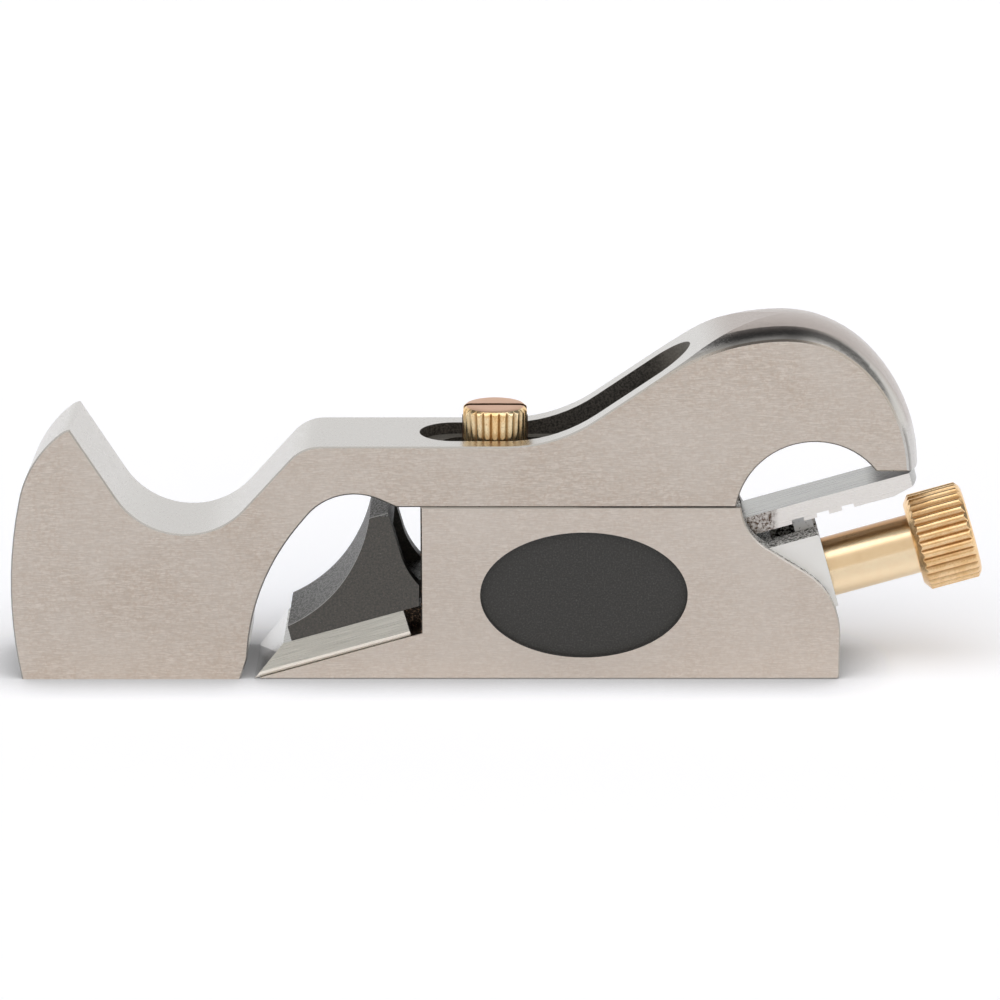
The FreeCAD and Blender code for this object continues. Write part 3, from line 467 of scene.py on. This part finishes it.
milled_top = 29.1 * MM
cap_iron, tree = new_material("blackened_cast_iron")
here, axis, facing = read_surface(tree)
side = spread(tree, calc(tree, "ABSOLUTE", facing["Y"]), 0.8, 0.95)
skin = noise(tree, here, 0.38 * MM, 4.0, 0.7)
speck = noise(tree, here, 0.22 * MM, 2.0, 0.6)
milled = blend(tree, spread(tree, skin, 0.35, 0.7), colour("#4f4f4d"), colour("#68645f"))
milled = blend(tree, spread(tree, speck, 0.62, 0.7, 0.0, 0.4), milled, colour("#8d8a84"))
cast = ramp(tree, skin, [
    (0.0, "#1d1d1d", 1.0), (0.45, "#363636", 1.0), (0.55, "#929291", 1.0), (1.0, "#d4d4d3", 1.0)])
# The edges beside the flat sides are rubbed bright, and the back is painted black, a painted shade
# in the hollow behind the front.
rubbed = spread(tree, calc(tree, "ABSOLUTE", axis["Y"]),
                half_width - 0.6 * MM, half_width - 0.4 * MM)
rubbed = times(tree, rubbed, calc(tree, "SUBTRACT", 0.6, side, clamp=True))
cast = blend(tree, rubbed, cast, colour("#c9c8c5"))
shaded_back = spread(tree, facing["X"], 0.2, 0.4)
cast = blend(tree, shaded_back, cast, colour("#17120f"))
# The very top of the sides, against the arch, was left as cast.
as_cast = spread(tree, axis["Z"], milled_top, milled_top + 0.15 * MM)
side = times(tree, side, calc(tree, "SUBTRACT", 1.0, as_cast))
tint = blend(tree, side, cast, milled)
dull = spread(tree, skin, 0.3, 0.7, 0.42, 0.6)
finish_metal(tree, tint, dull, skin, 0.35, 0.06 * MM, 0.75)
wear("lever_cap", cap_iron)

# Pin, lever cap screw and feed screw: turned steel, with fine rings from the lathe. The pin is
# pressed into the lower body, one screw sits in the lever cap, the other in the knob.


def turned_metal(name, dark, light, rough, ring_turn, ring_size):
    """Metal off the lathe: fine rings round the axis, and faint cloudy stains."""
    material, tree = new_material(name)
    here = add(tree, "ShaderNodeTexCoord").outputs["Object"]
    rings = noise(tree, stretched(tree, here, (ring_size, 40 * MM, 40 * MM), ring_turn), 1.0, 2.0)
    stain = noise(tree, here, 3.0 * MM, 4.0, 0.6)
    tint = blend(tree, spread(tree, stain, 0.35, 0.7), colour(light), colour(dark))
    dull = spread(tree, rings, 0.3, 0.7, rough, rough + 0.08)
    finish_metal(tree, tint, dull, rings, 0.12, 0.01 * MM)
    return material


square = math.radians(90)
pin_steel = turned_metal("pin_steel", "#8f8d8a", "#a8a7a4", 0.3, square, 0.2 * MM)
wear("lever_cap_pin", pin_steel)
screw_steel = turned_metal("screw_steel", "#7d7b78", "#a3a19e", 0.32, bed_angle - square, 0.2 * MM)
wear("lever_cap_screw", screw_steel)
feed_steel = turned_metal("feed_screw_steel", "#8a8885", "#adaba8", 0.3, bed_angle, 0.2 * MM)
wear("adjuster_screw", feed_steel)

# Lock screw and adjuster knob: turned brass. The lock screw's head has 24 rounded flutes and a
# driver slot; the knob has 32 pressed ridges, and a plain barrel that runs into the boss.


def brass(name, deep, pale, ring_turn, ring_size):
    """Brass: warm, cloudy with handling, and browner where dirt stays in the grooves.
    Returns the material, its tree, its surface, and the looks that a piece may mix more into."""
    material, tree = new_material(name)
    here, axis, facing = read_surface(tree)
    rings = noise(tree, stretched(tree, here, (ring_size, 30 * MM, 30 * MM), ring_turn), 1.0, 2.0)
    cloud = noise(tree, here, 2.5 * MM, 4.0, 0.6)
    fine = noise(tree, here, 0.25 * MM, 3.0, 0.6)
    tint = blend(tree, spread(tree, cloud, 0.35, 0.7), colour(pale), colour(deep))
    tint = blend(tree, spread(tree, fine, 0.55, 0.7, 0.0, 0.5), tint, colour("#b88a55"))
    groove = add(tree, "ShaderNodeAttribute", attribute_name="groove").outputs["Fac"]
    tint = blend(tree, times(tree, groove, 0.5), tint, colour("#7a5228"))
    dull = calc(tree, "ADD", spread(tree, fine, 0.3, 0.7, 0.17, 0.26), times(tree, groove, 0.25))
    height = calc(tree, "ADD", rings, times(tree, fine, 0.4))
    return material, tree, (axis, facing), tint, dull, height


def spin_tree():
    """Tree that spins copies of one slice round Z and merges them into one skin."""
    tree = bpy.data.node_groups.new("spin_copies", "GeometryNodeTree")
    tree.interface.new_socket("Geometry", in_out="INPUT", socket_type="NodeSocketGeometry")
    tree.interface.new_socket("Count", in_out="INPUT", socket_type="NodeSocketInt")
    tree.interface.new_socket("Geometry", in_out="OUTPUT", socket_type="NodeSocketGeometry")
    given = add(tree, "NodeGroupInput")
    points = add(tree, "GeometryNodePoints", {"Count": given.outputs["Count"]})
    number = add(tree, "GeometryNodeInputIndex")
    part = calc(tree, "DIVIDE", number.outputs[0], given.outputs["Count"])
    turn = add(tree, "ShaderNodeCombineXYZ", {"Z": calc(tree, "MULTIPLY", part, 2 * math.pi)})
    copies = add(tree, "GeometryNodeInstanceOnPoints", {
        "Points": points.outputs[0], "Instance": given.outputs["Geometry"],
        "Rotation": turn.outputs[0]})
    real = add(tree, "GeometryNodeRealizeInstances", {"Geometry": copies.outputs[0]})
    skin = add(tree, "GeometryNodeMergeByDistance", {"Geometry": real.outputs[0], "Distance": 1e-6})
    add(tree, "NodeGroupOutput", {"Geometry": skin.outputs[0]})
    return tree


def set_input(modifier, name, value):
    """Gives a value to the modifier's input of that name."""
    for item in modifier.node_group.interface.items_tree:
        if item.item_type == "SOCKET" and item.in_out == "INPUT" and item.name == name:
            modifier[item.identifier] = value


def plain_copy(piece):
    """A plain mesh of a piece with its modifiers worked in."""
    bpy.context.view_layer.update()
    graph = bpy.context.evaluated_depsgraph_get()
    return bpy.data.meshes.new_from_object(piece.evaluated_get(graph))


def step_size(start, end):
    """Fine steps where the radius changes on a rim, coarse ones along plain runs."""
    return 0.12 if abs(start[0] - end[0]) < 1.5 and start[1] > 4 and end[1] > 4 else 1.2


def fine_outline(corners):
    """Points along an outline of (height, radius) corners, close together where it bends."""
    points = [corners[0]]
    for start, end in zip(corners, corners[1:]):
        length = math.hypot(end[0] - start[0], end[1] - start[1])
        parts = max(1, math.ceil(length / step_size(start, end)))
        for part in range(1, parts + 1):
            t = part / parts
            points.append((start[0] + (end[0] - start[0]) * t, start[1] + (end[1] - start[1]) * t))
    return points


def grooved_slice(name, outline, count, outer, depth, sharpness, low, high):
    """One slice of a turned piece, in mm about Z, with a ridge in its middle between two
    heights. The groove at each side of the slice gets narrower as sharpness rises."""
    steps = 12
    mesh = bpy.data.meshes.new(name)
    points, depths, faces = [], [], []
    for height, radius in outline:
        for k in range(steps + 1):
            angle = math.pi / count * (2 * k / steps - 1)
            cut = depth * abs(2 * k / steps - 1) ** sharpness
            ridged = low <= height <= high
            reach = min(radius, outer - cut) if ridged else radius
            points.append((reach * math.cos(angle), reach * math.sin(angle), height))
            depths.append(cut / depth if ridged and reach > outer - cut - 1e-6 else 0.0)
    row = steps + 1
    for ring in range(len(outline) - 1):
        for k in range(steps):
            first = ring * row + k
            faces.append((first, first + 1, first + row + 1, first + row))
    mesh.from_pydata([Vector(p) * MM for p in points], [], faces)
    mark = mesh.attributes.new("groove", "FLOAT", "POINT")
    mark.data.foreach_set("value", depths)
    return mesh


spin = spin_tree()


def spun(name, slice_mesh, count):
    """A whole turned piece from one slice."""
    source = bpy.data.objects.new(name + "_slice", slice_mesh)
    bpy.context.scene.collection.objects.link(source)
    modifier = source.modifiers.new("spin", "NODES")
    modifier.node_group = spin
    set_input(modifier, "Count", count)
    whole = plain_copy(source)
    bpy.data.objects.remove(source)
    return whole


def tidy(mesh, angle):
    """Normals outward, smooth faces, and sharp edges where two faces meet at an angle."""
    work = bmesh.new()
    work.from_mesh(mesh)
    bmesh.ops.remove_doubles(work, verts=work.verts, dist=1e-6)
    bmesh.ops.dissolve_degenerate(work, edges=work.edges, dist=1e-7)
    bmesh.ops.recalc_face_normals(work, faces=work.faces)
    work.to_mesh(mesh)
    work.free()
    mesh.shade_smooth()
    mesh.set_sharp_from_angle(angle=math.radians(angle))


def box_mesh(name, low, high):
    """A box between two corners, in mm."""
    mesh = bpy.data.meshes.new(name)
    work = bmesh.new()
    made = bmesh.ops.create_cube(work, size=1.0)
    size = Vector(high) - Vector(low)
    middle = (Vector(high) + Vector(low)) / 2
    bmesh.ops.scale(work, vec=size * MM, verts=made["verts"])
    bmesh.ops.translate(work, vec=middle * MM, verts=made["verts"])
    work.to_mesh(mesh)
    work.free()
    return mesh


def cut_from(mesh, cutter):
    """The mesh less the cutter's volume."""
    whole = bpy.data.objects.new("whole", mesh)
    tool = bpy.data.objects.new("tool", cutter)
    for thing in (whole, tool):
        bpy.context.scene.collection.objects.link(thing)
    modifier = whole.modifiers.new("cut", "BOOLEAN")
    modifier.operation = "DIFFERENCE"
    modifier.solver = "EXACT"
    modifier.object = tool
    result = plain_copy(whole)
    bpy.data.objects.remove(whole)
    bpy.data.objects.remove(tool)
    return result


def place_piece(name, mesh, material, node, body):
    """Links a finished mesh as the piece that stands for a CAD node."""
    mesh.name = name
    mesh.materials.clear()
    mesh.materials.append(material)
    mesh.polygons.foreach_set("material_index", [0] * len(mesh.polygons))
    piece = bpy.data.objects.new(name, mesh)
    bpy.context.scene.collection.objects.link(piece)
    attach(piece, body)
    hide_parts(node)


lock_axis = 11.15
lock_foot = 22.2
lock_stem = 3.0
lock_seat = 39.45
lock_top = 46.3
lock_radius = 5.6
lock_flutes = 24
driver_half = 0.6
driver_depth = 1.9
# The head's top is duller and pinker than its flutes; the driver slot is painted dark brown, a
# painted shade in the slot.
lock_brass, tree, (axis, facing), tint, dull, height = brass(
    "lock_screw_brass", "#f6cf96", "#ffeac0", square, 0.15 * MM)
head_top = spread(tree, facing["Z"], 0.8, 0.95)
tint = blend(tree, head_top, tint, colour("#dcb397"))
driver_shade = times(
    tree, spread(tree, axis["Z"], (lock_top - 0.12) * MM, (lock_top - 0.04) * MM, 1.0, 0.0),
    spread(tree, calc(tree, "ABSOLUTE", axis["Y"]),
           (driver_half + 0.02) * MM, (driver_half + 0.06) * MM, 1.0, 0.0))
tint = blend(tree, driver_shade, tint, colour("#4a2f1c"))
dull = calc(tree, "ADD", dull, times(tree, most(tree, head_top, driver_shade), 0.2))
metal = calc(tree, "SUBTRACT", 1.0, times(tree, driver_shade, 0.8))
finish_metal(tree, tint, dull, height, 0.1, 0.02 * MM, metal)
lock_outline = fine_outline([
    (lock_foot, 0.0),
    (lock_foot, lock_stem - 0.6),
    (lock_foot + 0.6, lock_stem),
    (lock_seat, lock_stem),
    (lock_seat, lock_radius - 0.5),
    (lock_seat + 0.5, lock_radius),
    (lock_top - 0.85, lock_radius),
    (lock_top - 0.5, lock_radius - 0.2),
    (lock_top - 0.15, lock_radius - 0.65),
    (lock_top - 0.03, lock_radius - 1.2),
    (lock_top, 0.0),
])
lock_slice = grooved_slice("lock_slice", lock_outline, lock_flutes, lock_radius, 0.5, 2.6,
                           lock_seat, lock_top)
lock_mesh = spun("lock", lock_slice, lock_flutes)
tidy(lock_mesh, 30)
lock_mesh = cut_from(lock_mesh, box_mesh(
    "driver", (-7, -driver_half, lock_top - driver_depth), (7, driver_half, lock_top + 1)))
tidy(lock_mesh, 30)
lock_mesh.transform(Matrix.Translation((lock_axis * MM, 0, 0)))
place_piece("lock_screw_fluted", lock_mesh, lock_brass, "lock_screw", "clamp_screw")

knob_radius = 8.45
knob_end = 125.0
knob_ridges = 32
barrel_radius = 5.15
barrel_front = 99.15
barrel_rear = 114.8
feed_below_bed = 10.7
# The barrel was polished: it is paler and smoother than the ridged head.
knob_brass, tree, (axis, facing), tint, dull, height = brass(
    "adjuster_knob_brass", "#f0c68e", "#fcd9a8", bed_angle, 0.15 * MM)
from_edge = calc(tree, "SUBTRACT", axis["X"], cutting_edge)
on_barrel = spread(tree, along_bed(tree, from_edge, axis["Z"]),
                   (barrel_rear - 0.1) * MM, barrel_rear * MM, 1.0, 0.0)
tint = blend(tree, on_barrel, tint, blend(tree, 0.25, colour("#ffebc8"), tint))
# Its upper side, under the tang, is painted brown, a painted shade from the tang above.
facing_up = above_bed(tree, facing["X"], facing["Z"])
stain_and_shade = times(tree, on_barrel, spread(tree, facing_up, 0.72, 1.0))
tint = blend(tree, times(tree, stain_and_shade, 0.85), tint, colour("#ab7a48"))
finish_metal(tree, tint, dull, height, 0.1, 0.02 * MM)
knob_outline = fine_outline([
    (barrel_front, 2.0),
    (barrel_front, barrel_radius - 0.3),
    (barrel_front + 0.3, barrel_radius),
    (barrel_rear, barrel_radius),
    (barrel_rear, knob_radius - 1.5),
    (barrel_rear + 0.35, knob_radius - 0.95),
    (barrel_rear + 1.1, knob_radius),
    (knob_end - 0.9, knob_radius),
    (knob_end - 0.25, knob_radius - 0.7),
    (knob_end, knob_radius - 1.3),
    (knob_end, 0.0),
])
knob_slice = grooved_slice("knob_slice", knob_outline, knob_ridges, knob_radius, 0.5, 2.2,
                           barrel_rear, knob_end)
knob_mesh = spun("knob", knob_slice, knob_ridges)
tidy(knob_mesh, 30)
# The knob turns about the feed screw's axis, which runs along the bed, some way below it.
feed_up = Vector((-math.sin(bed_angle), 0, math.cos(bed_angle)))
feed_along = Vector((math.cos(bed_angle), 0, math.sin(bed_angle)))
feed_origin = Vector((cutting_edge, 0, 0.05 * MM)) - feed_up * feed_below_bed * MM
feed_frame = Matrix((feed_up, (0, -1, 0), feed_along)).transposed().to_4x4()
knob_mesh.transform(Matrix.Translation(feed_origin) @ feed_frame)
place_piece("adjuster_knob_ridged", knob_mesh, knob_brass, "adjuster_knob", "feed_screw")

# Adjuster dog: a pressed steel plate, plated pale, with dark pits. Its eye rides on the feed
# screw and its tooth sits in a notch of the iron.

dog_steel, tree = new_material("plated_steel")
here = add(tree, "ShaderNodeTexCoord").outputs["Object"]
pits = noise(tree, here, 0.4 * MM, 3.0, 0.6)
tint = blend(tree, spread(tree, pits, 0.62, 0.67), colour("#dcdee0"), colour("#2c2c2c"))
dull = spread(tree, pits, 0.3, 0.7, 0.35, 0.5)
finish_metal(tree, tint, dull, pits, 0.2, 0.04 * MM, 0.3)
wear("adjuster_dog", dog_steel)
